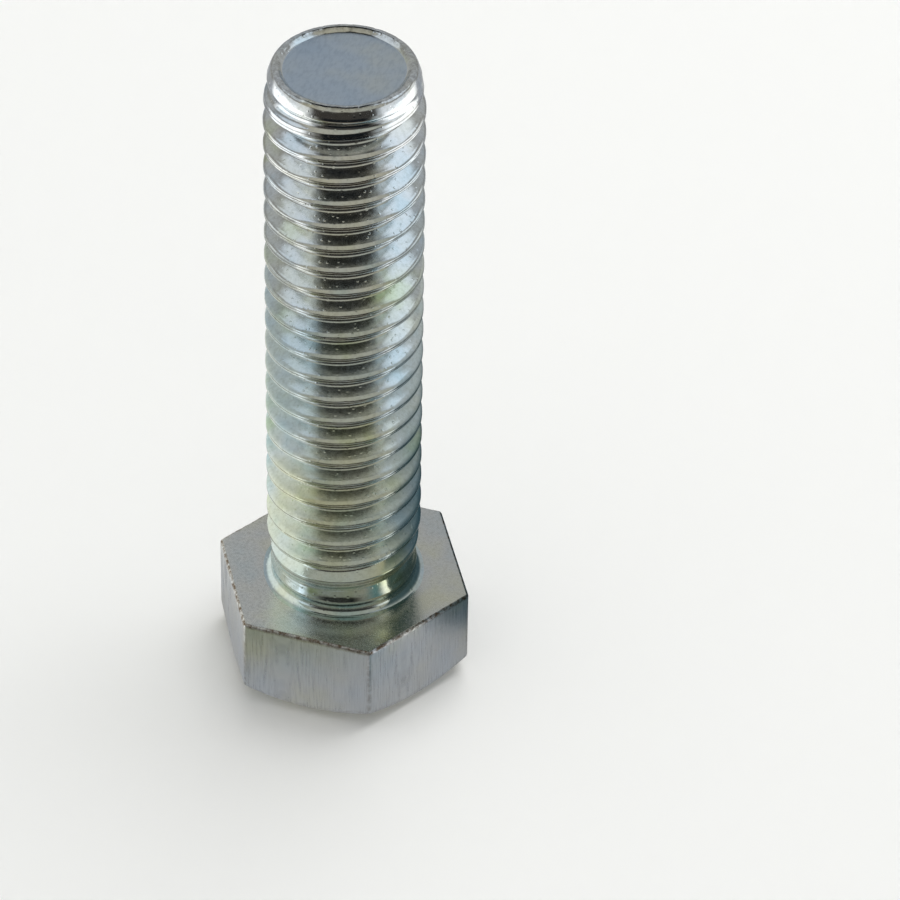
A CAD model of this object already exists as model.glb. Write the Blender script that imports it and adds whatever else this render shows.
import bpy
import numpy as np
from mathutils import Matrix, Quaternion, Vector


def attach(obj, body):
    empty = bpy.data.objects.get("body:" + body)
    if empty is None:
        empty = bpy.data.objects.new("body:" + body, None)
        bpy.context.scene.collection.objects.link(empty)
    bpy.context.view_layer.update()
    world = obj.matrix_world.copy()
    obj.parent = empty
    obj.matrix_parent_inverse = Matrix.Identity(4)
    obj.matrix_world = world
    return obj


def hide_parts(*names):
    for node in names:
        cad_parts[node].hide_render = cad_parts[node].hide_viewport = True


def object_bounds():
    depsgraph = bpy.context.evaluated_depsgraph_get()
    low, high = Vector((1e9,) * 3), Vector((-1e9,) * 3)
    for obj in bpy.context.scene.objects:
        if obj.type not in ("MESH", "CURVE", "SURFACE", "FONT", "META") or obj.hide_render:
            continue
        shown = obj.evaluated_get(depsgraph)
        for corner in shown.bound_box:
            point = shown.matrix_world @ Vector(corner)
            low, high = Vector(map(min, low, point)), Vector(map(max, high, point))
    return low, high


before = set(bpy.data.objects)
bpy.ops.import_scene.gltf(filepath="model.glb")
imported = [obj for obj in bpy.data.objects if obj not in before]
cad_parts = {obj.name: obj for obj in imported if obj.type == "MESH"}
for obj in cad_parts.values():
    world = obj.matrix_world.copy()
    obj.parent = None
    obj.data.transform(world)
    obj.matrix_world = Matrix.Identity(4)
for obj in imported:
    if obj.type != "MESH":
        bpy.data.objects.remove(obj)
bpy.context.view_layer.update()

# ==== Bolt forging: head, neck, thread and point in one piece ====
# Medium carbon steel wire, cold headed, its hexagon trimmed and its thread rolled between flat dies.
# It is tumbled, electroplated with bright zinc and dipped in a clear, faintly iridescent passivate.
MM = 0.001
MAJOR = 9.30 / 2
PITCH = 25.4 / 16
LENGTH = 37.50
ACROSS_FLATS = 13.85
HEAD_HEIGHT = 5.95
HEAD_TOP_RADIUS = ACROSS_FLATS / 2 - 0.78
CHAMFER_ANGLE = np.radians(30)
CHAMFER_CROWN = 0.06
CORNER_ROUNDING = 0.25
HALF_FLANK = np.radians(30)
CREST_WIDTH = 0.30
CREST_HEIGHT_AT_X = 1.13
ROOT_RADIUS = 0.25
SHARP_ROOT = MAJOR - (PITCH - CREST_WIDTH) / 2 / np.tan(HALF_FLANK)
ROOT = SHARP_ROOT + ROOT_RADIUS * (1 / np.sin(HALF_FLANK) - 1)
CORE = ROOT - 0.10
NECK = MAJOR - 0.35
NECK_HEIGHT = 1.40
FILLET_RADIUS = 0.45
LAND = MAJOR - 0.26
THREAD_TOP = LENGTH - 0.85

# Columns round the axis: close together over the hexagon's six rounded corners, wider between them.
half_side = np.array([0.0, 0.3, 0.6, 0.9, 1.3, 2.0, 3.0] + list(np.linspace(4.6, 30.0, 12)))
side = np.concatenate([half_side, 60 - half_side[-2:0:-1]])
angles = np.radians((side + 60 * np.arange(6)[:, None]).ravel())
COLUMNS = len(angles)


def wander(along, lengths, seed):
    """A smooth random wave along a line: sines of the given lengths in mm, each with a random phase
    and a slightly random length, added with equal shares. Lies within -1 to 1."""
    draw = np.random.default_rng(seed)
    wave = 0 * along
    for length in lengths:
        stretch, start = draw.uniform(0.85, 1.15), draw.uniform(0, 2 * np.pi)
        wave = wave + np.sin(2 * np.pi * along / (length * stretch) + start)
    return wave / len(lengths)


def blend_in(value, start, end):
    """0 below start, 1 above end, and a smooth S between them."""
    t = np.clip((value - start) / (end - start), 0, 1)
    return t * t * (3 - 2 * t)


def hexagon(angle, inset=0.0):
    """Distance from the axis to the hexagon: half the flats over the cosine of the angle from the
    nearest flat, or, near a corner, where the ray meets that corner's rounding circle."""
    half = ACROSS_FLATS / 2 - inset
    from_corner = np.abs((angle + np.pi / 6) % (np.pi / 3) - np.pi / 6)
    flat = half / np.cos(np.pi / 6 - from_corner)
    rounding = np.maximum(CORNER_ROUNDING - inset, 0.05)
    centre = (half - rounding) / np.cos(np.pi / 6)
    off = centre * np.sin(from_corner)
    arc = centre * np.cos(from_corner) + np.sqrt(np.maximum(rounding**2 - off**2, 0))
    return np.where(off < rounding * np.sin(np.pi / 6), arc, flat)


def chamfer_height(radius):
    """Height of the head's chamfer: a straight cone, less a shallow arch that bulges it outwards."""
    share = (radius - HEAD_TOP_RADIUS) / (ACROSS_FLATS / np.sqrt(3) + 1 - HEAD_TOP_RADIUS)
    arch = 4 * share * (1 - share) * CHAMFER_CROWN / np.cos(CHAMFER_ANGLE)
    return (radius - HEAD_TOP_RADIUS) * np.tan(CHAMFER_ANGLE) - arch - HEAD_HEIGHT


def ring(radius, height):
    """One row as (radius, height) pairs, one pair for each column."""
    return np.stack(np.broadcast_arrays(radius, height + 0 * angles), axis=-1)


def spread(start, end, shares):
    """Rows on the straight line from start to end, at the given shares of its length."""
    t = np.array(shares)[:, None, None]
    return (1 - t) * start + t * end


def bend(start, corner, end, steps):
    """Rows along a quadratic curve from start to end that is drawn towards the corner between them."""
    t = np.linspace(0, 1, steps)[:, None, None]
    return (1 - t) ** 2 * start + 2 * t * (1 - t) * corner + t**2 * end


# The head's bands of rows run from the middle of its top face out over the chamfer, up the flats,
# over the trimmed edge, in across the bearing face and up the fillet to the neck. The bolt stands on
# its head, so the head's top is below. Each band has its finish and how worn its rows are.
ROLLED, TRIMMED, FORGED, SHEARED = range(4)
outline = hexagon(angles)
round_head = outline * angles
burr = 0.5 + 0.5 * wander(round_head, [0.35, 0.8, 1.7, 4.1], 21)
edge_height = chamfer_height(outline)
TOP_EDGE = 0.30
FLAT_EDGE = 0.12
EDGE = 0.12
BURR = 0.05
top_start = ring(0.25, -HEAD_HEIGHT)
top_end = ring(HEAD_TOP_RADIUS - TOP_EDGE - 0.15, -HEAD_HEIGHT)
top_edge = HEAD_TOP_RADIUS + TOP_EDGE
chamfer_share = np.array([0.2, 0.5, 0.8, 0.95])[:, None]
chamfer_radius = top_edge * (1 - chamfer_share) + (outline - FLAT_EDGE) * chamfer_share
quarter = np.linspace(0, np.pi / 2, 7)
ridge = 1 + 0.45 * wander(angles * NECK, [3.1, 7.3, 14.6], 23)
neck_profile = [
    (0.55, 0.0),
    (0.68, 0.02),
    (0.80, 0.08),
    (0.92, 0.12),
    (1.04, 0.10),
    (1.2, 0.03),
    (NECK_HEIGHT, 0.0),
]
bands = [
    (spread(top_start, top_end, np.linspace(0, 1, 8)), FORGED, 0.0),
    (
        bend(
            ring(HEAD_TOP_RADIUS - TOP_EDGE, -HEAD_HEIGHT),
            ring(HEAD_TOP_RADIUS, -HEAD_HEIGHT),
            ring(top_edge, chamfer_height(top_edge)),
            6,
        ),
        FORGED,
        0.2,
    ),
    (np.stack([chamfer_radius, chamfer_height(chamfer_radius)], axis=-1), FORGED, 0.0),
    (
        bend(
            ring(outline - FLAT_EDGE, chamfer_height(outline - FLAT_EDGE)),
            ring(outline, edge_height),
            ring(outline, edge_height + FLAT_EDGE),
            4,
        ),
        TRIMMED,
        0.25,
    ),
    (
        spread(
            ring(outline, edge_height + FLAT_EDGE),
            ring(outline, -EDGE),
            [0.04, 0.25, 0.5, 0.75, 0.96],
        ),
        TRIMMED,
        0.0,
    ),
    (
        np.stack(
            [
                ring(
                    hexagon(angles, EDGE * (1 - np.cos(t)) + BURR * burr * np.sin(2 * t)),
                    -EDGE * (1 - np.sin(t)),
                )
                for t in quarter[::2]
            ]
        ),
        TRIMMED,
        1.0,
    ),
    (
        spread(
            ring(hexagon(angles, EDGE + BURR), 0),
            ring(NECK + FILLET_RADIUS, 0),
            [0.0, 0.04, 0.35, 0.65, 0.94],
        ),
        FORGED,
        0.0,
    ),
    (
        np.stack(
            [
                ring(NECK + FILLET_RADIUS * (1 - np.sin(t)), FILLET_RADIUS * (1 - np.cos(t)))
                for t in quarter
            ]
        ),
        ROLLED,
        0.1,
    ),
    (np.stack([ring(NECK + bulge * ridge, rise) for rise, bulge in neck_profile]), ROLLED, 0.2),
]
head_rows = np.concatenate([band for band, finish, worn in bands])
head_finish = np.concatenate([[finish] * len(band) for band, finish, worn in bands])
head_wear = np.concatenate([[worn] * len(band) for band, finish, worn in bands])

# The thread's rows wind round with it, each at its own distance above or below the crest.
below_crest = [-0.70, -0.577, -0.35, -0.19, -0.155, -0.12, -0.08, -0.045, -0.015]
above_crest = [0.015, 0.065, 0.11, 0.17, 0.23, 0.28, 0.577, 0.70]
phases = np.array(below_crest + above_crest)
ROWS = len(phases)
TURNS = int(np.ceil((THREAD_TOP - NECK_HEIGHT) / PITCH)) + 4
first_crest = CREST_HEIGHT_AT_X - 2 * PITCH
wound = first_crest + (np.arange(TURNS)[:, None] * PITCH + phases).ravel()
height = wound[:, None] + PITCH * angles / (2 * np.pi)
along = (np.repeat(np.arange(TURNS), ROWS)[:, None] * 2 * np.pi + angles) * MAJOR
phase = np.tile(phases, TURNS)[:, None] + 0 * angles

# Its form is a level crest with tight corners, straight flanks at 60 degrees to each other and a round
# root. The crest's upper corner is rolled down to a bevel, and where the metal from the two flanks met
# in the dies a fine seam, nearly closed, wanders along the crest.
CREST_RADIUS = 0.08
BEVEL_START = 0.095
off = np.abs(phase)
level = CREST_WIDTH / 2 - CREST_RADIUS * np.tan(HALF_FLANK)
crest = MAJOR - CREST_RADIUS + np.sqrt(np.maximum(CREST_RADIUS**2 - np.maximum(off - level, 0) ** 2, 0))
flank = MAJOR - (off - CREST_WIDTH / 2) / np.tan(HALF_FLANK)
root = ROOT + ROOT_RADIUS - np.sqrt(ROOT_RADIUS**2 - np.minimum(PITCH / 2 - off, ROOT_RADIUS) ** 2)
form = np.where(off < level + CREST_RADIUS * np.cos(HALF_FLANK), crest, flank)
form = np.where(off < PITCH / 2 - ROOT_RADIUS * np.cos(HALF_FLANK), form, root)
bevel_wave = 0.012 * wander(along, [1.6, 4.3, 9.0], 5)
form = np.minimum(form, MAJOR - (phase - BEVEL_START - bevel_wave))
seam_depth = 0.020 + 0.030 * wander(along, [1.2, 2.6, 5.1, 11.0], 3)
seam_line = np.exp(-(((phase + 0.015) / 0.028) ** 2))
crest_wave = 0.007 * wander(along + 12 * phase, [1.3, 2.9, 6.1], 7)
near_crest = np.exp(-((phase / 0.17) ** 2))
form = form - seam_line * np.maximum(seam_depth, 0) + near_crest * (crest_wave - 0.008)

# The crests grow out of the neck and shrink to the land, and the groove runs out at both ends.
thread_ends = [NECK_HEIGHT, NECK_HEIGHT + 2.40, THREAD_TOP - 1.70, THREAD_TOP]
envelope = np.interp(height, thread_ends, [NECK, MAJOR, MAJOR, LAND])
groove_ends = [NECK_HEIGHT, NECK_HEIGHT + 2.60, THREAD_TOP - 1.20, THREAD_TOP]
core = np.interp(height, groove_ends, [NECK, CORE, CORE, LAND])
clear_of_neck = blend_in(height, NECK_HEIGHT, NECK_HEIGHT + 0.6)
in_thread = clear_of_neck * blend_in(-height, -THREAD_TOP, 0.4 - THREAD_TOP)
runout_wave = 0.006 * in_thread * (1 + wander(along, [1.1, 2.7, 6.0], 11))
thread_rows = np.stack([np.minimum(envelope - runout_wave, np.maximum(form, core)), height], axis=-1)

# The point's rows run up the land, over the rolled rim and down into the sheared dish to its middle.
DISH_HEIGHT = LENGTH - 0.30
rim_profile = np.array(
    [
        (LAND, THREAD_TOP),
        (LAND - 0.005, THREAD_TOP + 0.10),
        (LAND - 0.06, THREAD_TOP + 0.27),
        (LAND - 0.115, THREAD_TOP + 0.44),
        (LAND - 0.17, THREAD_TOP + 0.59),
        (LAND - 0.225, THREAD_TOP + 0.70),
        (LAND - 0.30, THREAD_TOP + 0.79),
        (LAND - 0.39, THREAD_TOP + 0.835),
        (LAND - 0.48, LENGTH),
        (LAND - 0.57, LENGTH - 0.01),
        (LAND - 0.65, LENGTH - 0.06),
        (LAND - 0.72, LENGTH - 0.13),
        (LAND - 0.80, LENGTH - 0.21),
        (LAND - 0.88, LENGTH - 0.27),
        (LAND - 0.96, DISH_HEIGHT),
        (LAND - 1.15, DISH_HEIGHT),
        (2.4, DISH_HEIGHT),
        (1.2, DISH_HEIGHT),
        (0.3, DISH_HEIGHT),
    ]
)
rim_share = np.exp(-(((rim_profile[:, 1] - LENGTH + 0.05) / 0.12) ** 2)) * (rim_profile[:, 0] > 3.5)
rim_wave = wander(angles * MAJOR, [0.9, 2.1, 3.6, 7.3], 31)
rim_nicks = np.minimum(wander(angles * MAJOR, [0.45, 0.8, 1.9], 33), 0)
point_rows = np.stack([ring(radius, rise) for radius, rise in rim_profile])
point_rows[..., 0] += rim_share[:, None] * 0.03 * rim_wave
point_rows[..., 1] -= rim_share[:, None] * (0.02 + 0.02 * rim_wave - 0.03 * rim_nicks)
point_finish = np.where(rim_profile[:, 0] > 3.5, ROLLED, SHEARED)

# Three grids of points, joined row to row. A thread row's last column meets its first column one turn
# on, and thread rows that would pass the neck or the land are gathered into that ring.
GATHER = 0.03
head_ids = np.arange(len(head_rows) * COLUMNS).reshape(-1, COLUMNS)
thread_ids = head_ids.size + np.arange(height.size).reshape(height.shape)
point_ids = np.arange(len(point_rows) * COLUMNS).reshape(-1, COLUMNS)
point_ids = point_ids + head_ids.size + thread_ids.size
thread_ids = np.where(height < NECK_HEIGHT + GATHER, head_ids[-1], thread_ids)
thread_ids = np.where(height > THREAD_TOP - GATHER, point_ids[0], thread_ids)
head_closed = np.concatenate([head_ids, head_ids[:, :1]], axis=1)
point_closed = np.concatenate([point_ids, point_ids[:, :1]], axis=1)
thread_closed = np.concatenate([thread_ids[:-ROWS], thread_ids[ROWS:, :1]], axis=1)


def cells(ids):
    """The four corners of each cell between neighbouring rows and columns of point numbers."""
    return np.stack([ids[:-1, :-1], ids[:-1, 1:], ids[1:, 1:], ids[1:, :-1]], axis=-1).reshape(-1, 4)


def place(rows):
    """Points in mm of rows of (radius, height) pairs, one column to each angle."""
    radius, rise = rows[..., 0], rows[..., 1]
    return np.stack([radius * np.cos(angles), radius * np.sin(angles), rise], axis=-1).reshape(-1, 3)


quads = np.concatenate([cells(ids) for ids in (head_closed, thread_closed, point_closed)])
quad_finish = np.concatenate(
    [
        np.repeat(head_finish[1:], COLUMNS),
        np.full((len(thread_closed) - 1) * COLUMNS, ROLLED),
        np.repeat(point_finish[1:], COLUMNS),
    ]
)
middles = [(0, 0, -HEAD_HEIGHT), (0, 0, DISH_HEIGHT)]
points = np.concatenate([place(head_rows), place(thread_rows), place(point_rows), middles])
below, above = len(points) - 2, len(points) - 1
fans = np.concatenate(
    [
        np.stack([0 * head_closed[0, 1:] + below, head_closed[0, 1:], head_closed[0, :-1]], axis=-1),
        np.stack([0 * point_closed[0, 1:] + above, point_closed[-1, :-1], point_closed[-1, 1:]], axis=-1),
    ]
)
faces = np.concatenate([quads[:, [0, 1, 2]], quads[:, [0, 2, 3]], fans])
finish = np.concatenate([quad_finish, quad_finish, np.repeat([FORGED, SHEARED], COLUMNS)])

# What the plate carries at each point: wear on edges, the seam on the crests, and the distance round
# the head and up it, along which the trimming tool was dragged.
from_corner = np.degrees(np.abs((angles + np.pi / 6) % (np.pi / 3) - np.pi / 6))
corner_wear = 0.4 * np.exp(-((from_corner / 1.2) ** 2)) * (head_finish == TRIMMED)[:, None]
wear = np.concatenate(
    [
        np.maximum(head_wear[:, None] + 0 * angles, corner_wear).ravel(),
        (0.12 * near_crest * in_thread).ravel(),
        (0.45 * rim_share[:, None] + 0 * angles).ravel(),
        [0, 0],
    ]
)
seam = np.zeros(len(points))
open_seam = 0.75 * seam_line * (seam_depth > -0.002) * in_thread
seam[head_ids.size : head_ids.size + height.size] = open_seam.ravel()
drag = np.zeros((len(points), 3))
drag[:, 2] = points[:, 2]
drag[: head_ids.size, 0] = np.broadcast_to(round_head, head_ids.shape).ravel()

whole = (faces[:, 0] != faces[:, 1]) & (faces[:, 1] != faces[:, 2]) & (faces[:, 2] != faces[:, 0])
used, faces = np.unique(faces[whole], return_inverse=True)
faces = faces.reshape(-1, 3)


def solid(name, points, faces):
    """A smooth-shaded mesh object at the origin, from points in mm and faces of one length."""
    mesh = bpy.data.meshes.new(name)
    mesh.from_pydata(points * MM, [], faces)
    mesh.shade_smooth()
    made = bpy.data.objects.new(name, mesh)
    bpy.context.scene.collection.objects.link(made)
    return made


forging = solid("bolt_forging", points[used], faces)
forging.data.attributes.new("wear", "FLOAT", "POINT").data.foreach_set("value", wear[used])
forging.data.attributes.new("seam", "FLOAT", "POINT").data.foreach_set("value", seam[used])
dragged = forging.data.attributes.new("drag", "FLOAT_VECTOR", "POINT")
dragged.data.foreach_set("vector", (drag[used] * MM).ravel())
forging.data.polygons.foreach_set("material_index", finish[whole].astype(np.int32))


def linear(code):
    """Linear colour from an sRGB hex code."""
    srgb = np.array([int(code[i : i + 2], 16) for i in (1, 3, 5)]) / 255
    low, high = srgb / 12.92, ((srgb + 0.055) / 1.055) ** 2.4
    return (*np.where(srgb > 0.04045, high, low).tolist(), 1.0)


def add(tree, kind, settings=None, inputs=None):
    """Adds a node. Settings are set on it, and inputs are values, or sockets to link from."""
    node = tree.nodes.new("ShaderNode" + kind)
    for name, value in (settings or {}).items():
        setattr(node, name, value)
    for name, value in (inputs or {}).items():
        if isinstance(value, bpy.types.NodeSocket):
            tree.links.new(value, node.inputs[name])
        else:
            node.inputs[name].default_value = value
    return node


def ramp(tree, value, stops):
    """A colour ramp over a value socket, from (position, hex code) stops in order."""
    node = add(tree, "ValToRGB", None, {"Fac": value})
    while len(node.color_ramp.elements) < len(stops):
        node.color_ramp.elements.new(0.5)
    for element, (position, code) in zip(node.color_ramp.elements, stops):
        element.position = position
        element.color = linear(code)
    return node.outputs["Color"]


PATCH_SCALE = 240.0  # to the metre, so a patch of passivate is about 4 mm across
RUB_SCALE = 3300.0  # to the metre, so a rubbed edge breaks up about every 0.3 mm
RUB_DULLS = 0.2  # roughness that a fully rubbed or dirty spot adds


def zinc_plate(name, tints, gloss, peel, grain, smut):
    """Zinc plate over one kind of worked steel. Tints are the passivate's colours, over patches of
    some mm. Gloss is the least and most roughness. Peel is the size and depth of the steel's own
    orange peel. Grain is its finer marks: the attribute they follow or None, their size in mm, how
    they are stretched, their depth in mm, and the darkest colour they multiply by. Smut is the colour
    where the plate is rubbed or a crevice holds dirt. Returns the material, the socket that gives the
    place on the bolt, and the one that gives the bumped normal."""
    material = bpy.data.materials.new(name)
    material.use_nodes = True
    tree = material.node_tree
    surface = tree.nodes["Principled BSDF"]
    spot = add(tree, "TexCoord").outputs["Object"]
    follow, grain_size, stretch, grain_depth, grain_tone = grain
    travel = add(tree, "Attribute", {"attribute_name": follow}).outputs["Vector"] if follow else spot
    stretched = add(tree, "Mapping", None, {"Vector": travel, "Scale": stretch})
    inputs = {"Vector": stretched.outputs["Vector"], "Scale": 1000.0 / grain_size}
    marks = add(tree, "TexNoise", None, {**inputs, "Detail": 3.0, "Roughness": 0.6})
    inputs = {"Vector": spot, "Scale": PATCH_SCALE, "Detail": 3.0, "Roughness": 0.55}
    patches = add(tree, "TexNoise", None, inputs)
    clear = ramp(tree, patches.outputs["Fac"], tints)
    toned = ramp(tree, marks.outputs["Fac"], [(0.34, grain_tone), (0.56, "#ffffff")])
    inputs = {"Fac": 1.0, "Color1": clear, "Color2": toned}
    plated = add(tree, "MixRGB", {"blend_type": "MULTIPLY"}, inputs)
    inputs = {"Vector": spot, "Scale": RUB_SCALE, "Detail": 4.0, "Roughness": 0.7}
    fine = add(tree, "TexNoise", None, inputs)
    worn = add(tree, "Attribute", {"attribute_name": "wear"}).outputs["Fac"]
    crevice = add(tree, "Attribute", {"attribute_name": "seam"}).outputs["Fac"]
    inputs = {"Value": fine.outputs["Fac"], "From Min": 0.38, "From Max": 0.60}
    broken = add(tree, "MapRange", None, inputs)
    rubbed = add(tree, "Math", {"operation": "MULTIPLY"}, {0: worn, 1: broken.outputs["Result"]})
    inputs = {0: rubbed.outputs["Value"], 1: crevice}
    marked = add(tree, "Math", {"operation": "ADD", "use_clamp": True}, inputs)
    inputs = {"Fac": marked.outputs["Value"], "Color1": plated.outputs["Color"], "Color2": linear(smut)}
    colour = add(tree, "MixRGB", None, inputs)
    tree.links.new(colour.outputs["Color"], surface.inputs["Base Color"])
    surface.inputs["Metallic"].default_value = 1.0
    limits = {"From Min": 0.3, "From Max": 0.7, "To Min": gloss[0], "To Max": gloss[1]}
    haze = add(tree, "MapRange", None, {"Value": marks.outputs["Fac"], **limits})
    inputs = {0: marked.outputs["Value"], 1: RUB_DULLS, 2: haze.outputs["Result"]}
    dull = add(tree, "Math", {"operation": "MULTIPLY_ADD"}, inputs)
    tree.links.new(dull.outputs["Value"], surface.inputs["Roughness"])
    peel_size, peel_depth = peel
    inputs = {"Vector": spot, "Scale": 1000.0 / peel_size, "Detail": 2.0}
    dimples = add(tree, "TexNoise", None, inputs)
    inputs = {"Height": dimples.outputs["Fac"], "Strength": 1.0, "Distance": peel_depth * MM}
    skin = add(tree, "Bump", None, inputs)
    inputs = {"Height": marks.outputs["Fac"], "Strength": 1.0, "Distance": grain_depth * MM}
    scored = add(tree, "Bump", None, {**inputs, "Normal": skin.outputs["Normal"]})
    tree.links.new(scored.outputs["Normal"], surface.inputs["Normal"])
    return material, spot, scored.outputs["Normal"]


# Thread, neck and rim: metal burnished by the rolling dies, so the plate over it is nearly a mirror.
# The eye gets sharp dark and light bands, a few fine bright specks, and smut in the crest's seam.
rolled, spot, scored = zinc_plate(
    "bright_zinc_over_rolled_steel",
    tints=[(0.33, "#c6d4da"), (0.46, "#d6dadb"), (0.58, "#d9dad3"), (0.72, "#d4d9bd")],
    gloss=(0.10, 0.15),
    peel=(0.45, 0.0035),
    grain=(None, 0.24, (1.0, 1.0, 1.0), 0.001, "#f0f0ee"),
    smut="#6a655c",
)
plate = rolled.node_tree
surface = plate.nodes["Principled BSDF"]

# Down the shank the passivate is thicker, so the plate gets hazier, but the neck stays bright.
HAZE = 0.13
height_up = add(plate, "SeparateXYZ", None, {"Vector": spot}).outputs["Z"]
inputs = {"Value": height_up, "From Min": 0.034, "From Max": 0.004}
low = add(plate, "MapRange", None, inputs).outputs["Result"]
inputs = {"Value": height_up, "From Min": 0.0015, "From Max": 0.0060}
off_neck = add(plate, "MapRange", None, inputs).outputs["Result"]
veil = add(plate, "Math", {"operation": "MULTIPLY"}, {0: low, 1: off_neck}).outputs["Value"]
inputs = {0: veil, 1: HAZE, 2: surface.inputs["Roughness"].links[0].from_socket}
hazed = add(plate, "Math", {"operation": "MULTIPLY_ADD"}, inputs)
plate.links.new(hazed.outputs["Value"], surface.inputs["Roughness"])

# Thicker passivate also shows its interference colours, in patches of blue and straw.
FILM_SCALE = 130.0
inputs = {"Vector": spot, "W": 2.3, "Scale": FILM_SCALE, "Detail": 2.0}
film = add(plate, "TexNoise", {"noise_dimensions": "4D"}, inputs)
stops = [(0.36, "#c4e2ea"), (0.52, "#eef8fa"), (0.66, "#f2f5da")]
sheen = ramp(plate, film.outputs["Fac"], stops)
inputs = {"Fac": low, "Color1": surface.inputs["Base Color"].links[0].from_socket, "Color2": sheen}
iridescent = add(plate, "MixRGB", {"blend_type": "MULTIPLY"}, inputs)
plate.links.new(iridescent.outputs["Color"], surface.inputs["Base Color"])

# Nubs of zinc stand up like fine dust. The real ones are too fine to draw, so these are coarser, at
# about 0.4 mm from one to the next.
NUB_SCALE = 2400.0
NUB_HEIGHT = 0.00001
specks = add(plate, "TexVoronoi", None, {"Vector": spot, "Scale": NUB_SCALE})
inputs = {"Value": specks.outputs["Distance"], "From Min": 0.10, "From Max": 0.22}
nubs = add(plate, "MapRange", None, inputs)
inputs = {"Height": nubs.outputs["Result"], "Strength": 0.7, "Distance": NUB_HEIGHT}
dusted = add(plate, "Bump", {"invert": True}, {**inputs, "Normal": scored})
plate.links.new(dusted.outputs["Normal"], surface.inputs["Normal"])
forging.data.materials.append(rolled)

# Flats: sheared by the trimming die, which drags fine lines up them and leaves a crumbled edge.
# The eye gets a soft grey sheen that is streaked along the bolt. The real lines are too fine to
# draw, so these are coarser, at 0.11 mm.
trimmed = zinc_plate(
    "zinc_over_trimmed_steel",
    tints=[(0.30, "#cdd3da"), (0.50, "#d3d5d6"), (0.70, "#d6d6ca")],
    gloss=(0.24, 0.38),
    peel=(0.5, 0.008),
    grain=("drag", 0.11, (1.0, 1.0, 0.05), 0.0028, "#e3e4e6"),
    smut="#6b5c4d",
)[0]
forging.data.materials.append(trimmed)

# Bearing face, chamfer and head top: struck by the heading punch, so they keep its satin face with a
# little orange peel. The eye gets a soft, warm grey that still mirrors the shank standing on it.
forged = zinc_plate(
    "zinc_over_forged_steel",
    tints=[(0.30, "#c8cfcf"), (0.48, "#d3d3ce"), (0.70, "#d8d6c2")],
    gloss=(0.19, 0.30),
    peel=(0.7, 0.006),
    grain=(None, 0.20, (1.0, 1.0, 1.0), 0.0015, "#ececea"),
    smut="#6f6353",
)[0]
forging.data.materials.append(forged)

# End of the shank: cut from the wire and never struck, so it is the dullest face, with a fine grain.
# The eye gets an even, cool grey with faint scratches from the cut.
sheared = zinc_plate(
    "zinc_over_sheared_steel",
    tints=[(0.30, "#b9c8d6"), (0.50, "#c2ced8"), (0.70, "#cbd2d2")],
    gloss=(0.36, 0.44),
    peel=(1.3, 0.010),
    grain=(None, 0.22, (1.0, 0.4, 1.0), 0.0018, "#eceef0"),
    smut="#6c6252",
)[0]
forging.data.materials.append(sheared)
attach(forging, "root")
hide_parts("bolt")

# ==== Head marks ====
# Plain bars and dots raised on the head's top where the punch is cut away. Steel of the same blow as
# the head, with leaning walls and soft edges, under the same plate.
MARK_HEIGHT = 0.22
MARK_SINK = 0.04
MARK_RING = HEAD_TOP_RADIUS - 1.05
BARS, DOTS = 4, 5
MARKS = BARS + DOTS
bar_angles = np.radians(90 + 27.0 * (np.arange(BARS) - (BARS - 1) / 2))
dot_angles = np.radians(270 + 18.0 * (np.arange(DOTS) - (DOTS - 1) / 2))
mark_angles = np.concatenate([bar_angles, dot_angles])
mark_lengths = np.repeat([1.70, 0.80], [BARS, DOTS])
mark_widths = np.repeat([0.45, 0.80], [BARS, DOTS])
lean = np.tan(np.radians(12))
mark_profile = np.array(
    [
        (0.0, -MARK_SINK),
        (0.0, 0.0),
        (lean * 0.08, 0.08),
        (lean * 0.16, 0.16),
        (0.055, 0.198),
        (0.085, 0.214),
        (0.125, MARK_HEIGHT),
        (0.18, MARK_HEIGHT),
    ]
)
t = np.linspace(0, 2 * np.pi, 49)[:-1] + 2 * np.pi / 96
inset = mark_profile[:, 0][None, :, None]
reach = (mark_widths / 2)[:, None, None] - inset
shift = ((mark_lengths - mark_widths) / 2)[:, None, None] * np.sign(np.cos(t))
outward = MARK_RING + reach * np.sin(t)
sideways = shift + reach * np.cos(t)
cosine, sine = np.cos(mark_angles)[:, None, None], np.sin(mark_angles)[:, None, None]
depth = -HEAD_HEIGHT - mark_profile[:, 1][None, :, None] + 0 * sideways
mark_points = np.stack(
    [outward * cosine - sideways * sine, outward * sine + sideways * cosine, depth], axis=-1
).reshape(-1, 3)
mark_ids = np.arange(mark_points.shape[0]).reshape(MARKS, len(mark_profile), len(t))
mark_closed = np.concatenate([mark_ids, mark_ids[..., :1]], axis=2)
mark_faces = np.concatenate([cells(ids)[:, ::-1] for ids in mark_closed])
both = np.tile(mark_angles, 2)
cap_depths = np.repeat([-HEAD_HEIGHT + MARK_SINK, -HEAD_HEIGHT - MARK_HEIGHT], MARKS)
caps = np.stack([MARK_RING * np.cos(both), MARK_RING * np.sin(both), cap_depths], axis=-1)
seat_ids = np.arange(MARKS)[:, None] + len(mark_points) + 0 * mark_ids[:, 0]
top_ids = seat_ids + MARKS
seats = np.stack([mark_closed[:, 0, :-1], mark_closed[:, 0, 1:], seat_ids], axis=-1)
tops = np.stack([mark_closed[:, -1, 1:], mark_closed[:, -1, :-1], top_ids], axis=-1)
mark_triangles = np.concatenate(
    [mark_faces[:, [0, 1, 2]], mark_faces[:, [0, 2, 3]], seats.reshape(-1, 3), tops.reshape(-1, 3)]
)
marks = solid("raised_marks", np.concatenate([mark_points, caps]), mark_triangles[:, ::-1])
row_wear = np.repeat([0, 0, 0, 0.3, 0.7, 0.6, 0.2, 0.1], len(t))
mark_wear = np.concatenate([np.tile(row_wear, MARKS), np.zeros(len(caps))])
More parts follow.
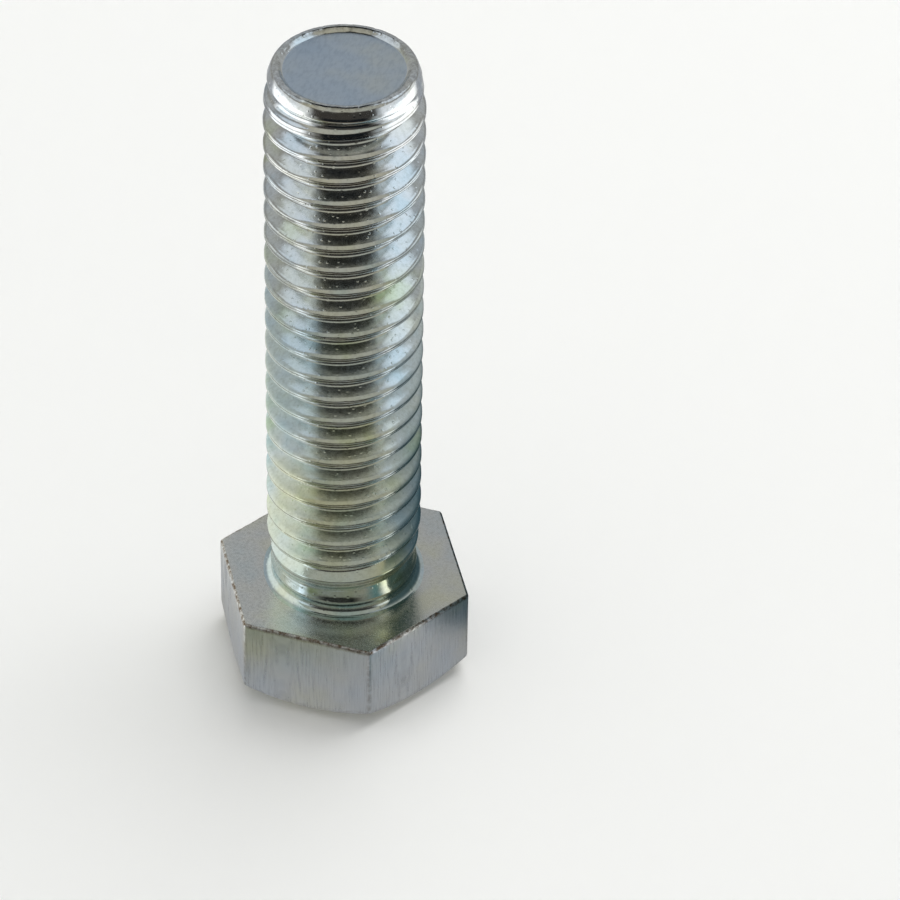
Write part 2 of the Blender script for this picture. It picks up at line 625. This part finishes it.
marks.data.attributes.new("wear", "FLOAT", "POINT").data.foreach_set("value", mark_wear)

# Struck metal like the head's top, and a little smoother on its crowns, where it was tumbled.
tumbled = zinc_plate(
    "zinc_over_tumbled_steel",
    tints=[(0.30, "#c8d0d2"), (0.48, "#d2d2ce"), (0.70, "#d8d6c4")],
    gloss=(0.17, 0.27),
    peel=(0.4, 0.004),
    grain=(None, 0.22, (1.0, 1.0, 1.0), 0.004, "#d4d4d0"),
    smut="#8a7d6c",
)[0]
marks.data.materials.append(tumbled)
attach(marks, "root")
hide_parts("head_marks")

# ==== Floor ====
# White paper, swept up into a wall all round. It gives the metal no mirror image of its own, because
# the tent and the table card below do that.
floor_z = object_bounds()[0][2]
around = np.linspace(0, 2 * np.pi, 97)[:-1]
bow = np.radians(np.linspace(0, 90, 13))
curve = [(1.5 + 0.8 * np.sin(b), 0.8 * (1 - np.cos(b))) for b in bow[1:]]
sweep = np.array([(0.3, 0), (1.5, 0)] + curve + [(2.3, 2.6)])


def turned_points(radius, rise, around):
    """Points of a lathe: rows of one radius and height each, a column to each angle, in metres."""
    radius, rise = radius[:, None], rise[:, None] + 0 * around
    return np.stack([radius * np.cos(around), radius * np.sin(around), rise], axis=-1).reshape(-1, 3)


def turned_cells(rows, columns):
    """Cells of a lathe's grid, closed round it, that face the inside or the top."""
    ids = np.arange(rows * columns).reshape(rows, columns)
    return cells(np.concatenate([ids, ids[:, :1]], axis=1))[:, ::-1]


floor_points = turned_points(sweep[:, 0], sweep[:, 1] + floor_z, around)
floor_cells = turned_cells(len(sweep), len(around)).tolist()
floor = solid("floor", floor_points / MM, floor_cells + [list(range(len(around)))])
paper = bpy.data.materials.new("white_paper")
paper.use_nodes = True
matt = paper.node_tree.nodes["Principled BSDF"]
matt.inputs["Base Color"].default_value = linear("#f6f6f4")
matt.inputs["Roughness"].default_value = 0.9
floor.data.materials.append(paper)
floor.visible_glossy = False

# ==== Light tent and table card ====
# Both are seen only in the bolt's own reflections. The tent has grey walls, a soft box high at each
# side and an open gap overhead. The table card is white near the bolt and falls off into the dark.
CAMERA_AZIMUTH = -71.25


def window(value, start, end, soft):
    """1 between start and end, falling smoothly to 0 over the soft width outside them."""
    return blend_in(value, start - soft, start) * blend_in(-value, -end - soft, -end)


def lay(glow, share, colour, radiance):
    """The glow with a light of one colour and radiance laid over it where share is 1."""
    share = share[..., None]
    return glow * (1 - share) + share * np.array(linear(colour)[:3]) * radiance


def glowing_card(name, points, faces, glow):
    """A card that glows with its own painted colours, seen by glossy rays and nothing else."""
    card = solid(name, points / MM, faces)
    paint = card.data.color_attributes.new("glow", "FLOAT_COLOR", "POINT")
    opaque = np.ones((*glow.shape[:-1], 1))
    paint.data.foreach_set("color", np.concatenate([glow, opaque], axis=-1).ravel())
    cloth = bpy.data.materials.new("lit_" + name)
    cloth.use_nodes = True
    tree = cloth.node_tree
    tree.nodes.remove(tree.nodes["Principled BSDF"])
    painted = add(tree, "Attribute", {"attribute_name": "glow"})
    lit = add(tree, "Emission", None, {"Color": painted.outputs["Color"], "Strength": 1.0})
    tree.links.new(lit.outputs["Emission"], tree.nodes["Material Output"].inputs["Surface"])
    cloth.cycles.emission_sampling = "NONE"
    card.data.materials.append(cloth)
    for ray in ("camera", "diffuse", "transmission", "volume_scatter", "shadow"):
        setattr(card, "visible_" + ray, False)


turns = np.radians(np.arange(0, 360, 2.0))
from_camera = (np.degrees(turns) - CAMERA_AZIMUTH + 180) % 360 - 180
aside = np.abs(from_camera)
rises = np.radians(np.linspace(-89, 89, 120))
rise = np.degrees(rises)[:, None]
glow = np.ones((len(rises), len(turns), 3)) * np.array(linear("#f8f8f6")[:3]) * 0.36
glow = lay(glow, window(rise, 15, 66, 10) * window(aside, 135, 185, 20), "#f6faff", 0.52)
glow = lay(glow, window(rise, 20, 80, 12) * window(aside, 0, 62, 12), "#fffbea", 0.50)
glow = lay(glow, window(rise, -18, 14, 14) * window(aside, 0, 40, 20), "#f4e8dc", 0.06)
glow = lay(glow, window(rise, -30, 9, 10) * window(from_camera, 62, 112, 14), "#fcfdff", 1.70)
glow = lay(glow, window(rise, -30, 9, 10) * window(from_camera, -112, -62, 14), "#fcfdff", 1.80)
glow = lay(glow, window(rise, -8, 9, 8) * window(aside, 55, 112, 14), "#f4f8fc", 1.00)
glow = lay(glow, window(rise, 36, 61, 8) * window(from_camera, 80, 116, 9), "#eef6ff", 1.20)
glow = lay(glow, window(rise, 36, 62, 8) * window(from_camera, -116, -80, 9), "#eef6ff", 0.95)
towards = np.cos(rises)[:, None] * np.cos(np.radians(from_camera))
across = np.cos(rises)[:, None] * np.sin(np.radians(from_camera))
gap = window(towards, -0.30, 0.08, 0.18) * window(across, -0.34, 0.225, 0.12) * (rise > 0)
glow = lay(glow, gap, "#8496a4", 0.035)
TENT_RADIUS = 0.6
tent_centre = np.array([0, 0, 0.018])
tent_points = turned_points(TENT_RADIUS * np.cos(rises), TENT_RADIUS * np.sin(rises), turns) + tent_centre
glowing_card("tent", tent_points, turned_cells(len(rises), len(turns)), glow)

reach = np.concatenate([np.linspace(0.5, 60, 80), np.geomspace(62, 400, 60)])
away = reach[:, None]
glow = np.ones((len(reach), len(turns), 3)) * np.array(linear("#f4f6f6")[:3]) * 0.50
glow = lay(glow, window(away, 30, 500, 14) * window(aside, 120, 185, 10), "#f4f8ff", 0.45)
glow = lay(glow, window(away, 16, 60, 6) * window(from_camera, -58, -24, 14), "#e2eab4", 0.34)
glow = lay(glow, window(away, 16, 60, 6) * window(from_camera, 22, 46, 12), "#a4dcea", 0.34)
front = window(aside, 0, 26, 20)
glow = lay(glow, window(away, 26, 500, 10) * front, "#f6eeda", 0.38)
glow = lay(glow, window(away, 48, 500, 12) * front, "#ead8c4", 0.15)
glow = lay(glow, window(away, 84, 500, 26) * front, "#b8c8d8", 0.02)
glow = lay(glow, window(away, 18, 500, 6) * window(from_camera, 62, 112, 14), "#fcfdff", 1.70)
glow = lay(glow, window(away, 18, 500, 6) * window(from_camera, -112, -62, 14), "#fcfdff", 1.80)
card_points = turned_points(reach * MM, 0 * reach + floor_z - 0.0002, turns)
glowing_card("table_card", card_points, turned_cells(len(reach), len(turns)), glow)

# A dark flag stands close to the right of the head and a white card to the left, each fading upwards
# into the tent's grey. The lowest threads mirror them. Both are flat sheets on edge.
CARD_OFFSET = 11.5
CARD_FOOT, CARD_HEIGHT = -6.1, 32
CARD_FRONT, CARD_DEPTH = 7, 34
up = np.linspace(0, 1, 40)[:, None] + np.zeros(24)
back = np.zeros((40, 1)) + np.linspace(0, 1, 24)
facing = np.radians(CAMERA_AZIMUTH)
card_cells = cells(np.arange(up.size).reshape(up.shape))
side_cards = [("dark_flag", 1, "#8fb0ba", 0.24), ("white_fill", -1, "#fcfcf4", 1.15)]
for name, side, colour, radiance in side_cards:
    near_by, out_by = CARD_FRONT - CARD_DEPTH * back, side * CARD_OFFSET
    card_x = near_by * np.cos(facing) - out_by * np.sin(facing)
    card_y = near_by * np.sin(facing) + out_by * np.cos(facing)
    card_points = np.stack([card_x, card_y, CARD_FOOT + CARD_HEIGHT * up], axis=-1).reshape(-1, 3)
    shade = np.ones((*up.shape, 3)) * np.array(linear("#f4f8f8")[:3]) * 0.62
    shade = lay(shade, 1 - blend_in(up, 0.35, 0.95), colour, radiance)
    glowing_card(name, card_points * MM, card_cells, shade)

# ==== Studio light ====
# An even pale room and one soft box overhead light the floor and give the bolt its soft shadow. The
# metal mirrors neither.
world = bpy.data.worlds.new("studio")
bpy.context.scene.world = world
world.use_nodes = True
room = world.node_tree.nodes["Background"]
room.inputs["Color"].default_value = linear("#f6f7f8")
room.inputs["Strength"].default_value = 0.86
world.cycles_visibility.glossy = False
lamp = bpy.data.lights.new("overhead_soft_box", "AREA")
lamp.shape = "RECTANGLE"
lamp.size, lamp.size_y = 0.5, 0.4
lamp.energy = 1.8
lamp_holder = bpy.data.objects.new("overhead_soft_box", lamp)
bpy.context.scene.collection.objects.link(lamp_holder)
lamp_holder.location = (0.12, 0.25, 0.55)
lamp_holder.rotation_mode = "QUATERNION"
lamp_holder.rotation_quaternion = (-lamp_holder.location).to_track_quat("-Z", "Y")
lamp_holder.visible_glossy = False

# ==== Camera ====
# A long lens looks down at 41 degrees past the near flat. It is rolled by about a degree.
camera = bpy.data.cameras.new("camera")
camera.sensor_width = 36.0
camera.lens = 208.57
camera.clip_start = 0.01
camera.clip_end = 20.0
eye = bpy.data.objects.new("camera", camera)
bpy.context.scene.collection.objects.link(eye)
eye.location = (0.076761, -0.226164, 0.209075)
AIM = Vector((0.007237, -0.001955, 0.012778))
ROLL = np.radians(1.073)
eye.rotation_mode = "QUATERNION"
level_aim = (AIM - eye.location).to_track_quat("-Z", "Y")
eye.rotation_quaternion = level_aim @ Quaternion((0, 0, 1), ROLL)
bpy.context.scene.camera = eye
bpy.context.scene.view_settings.view_transform = "Standard"
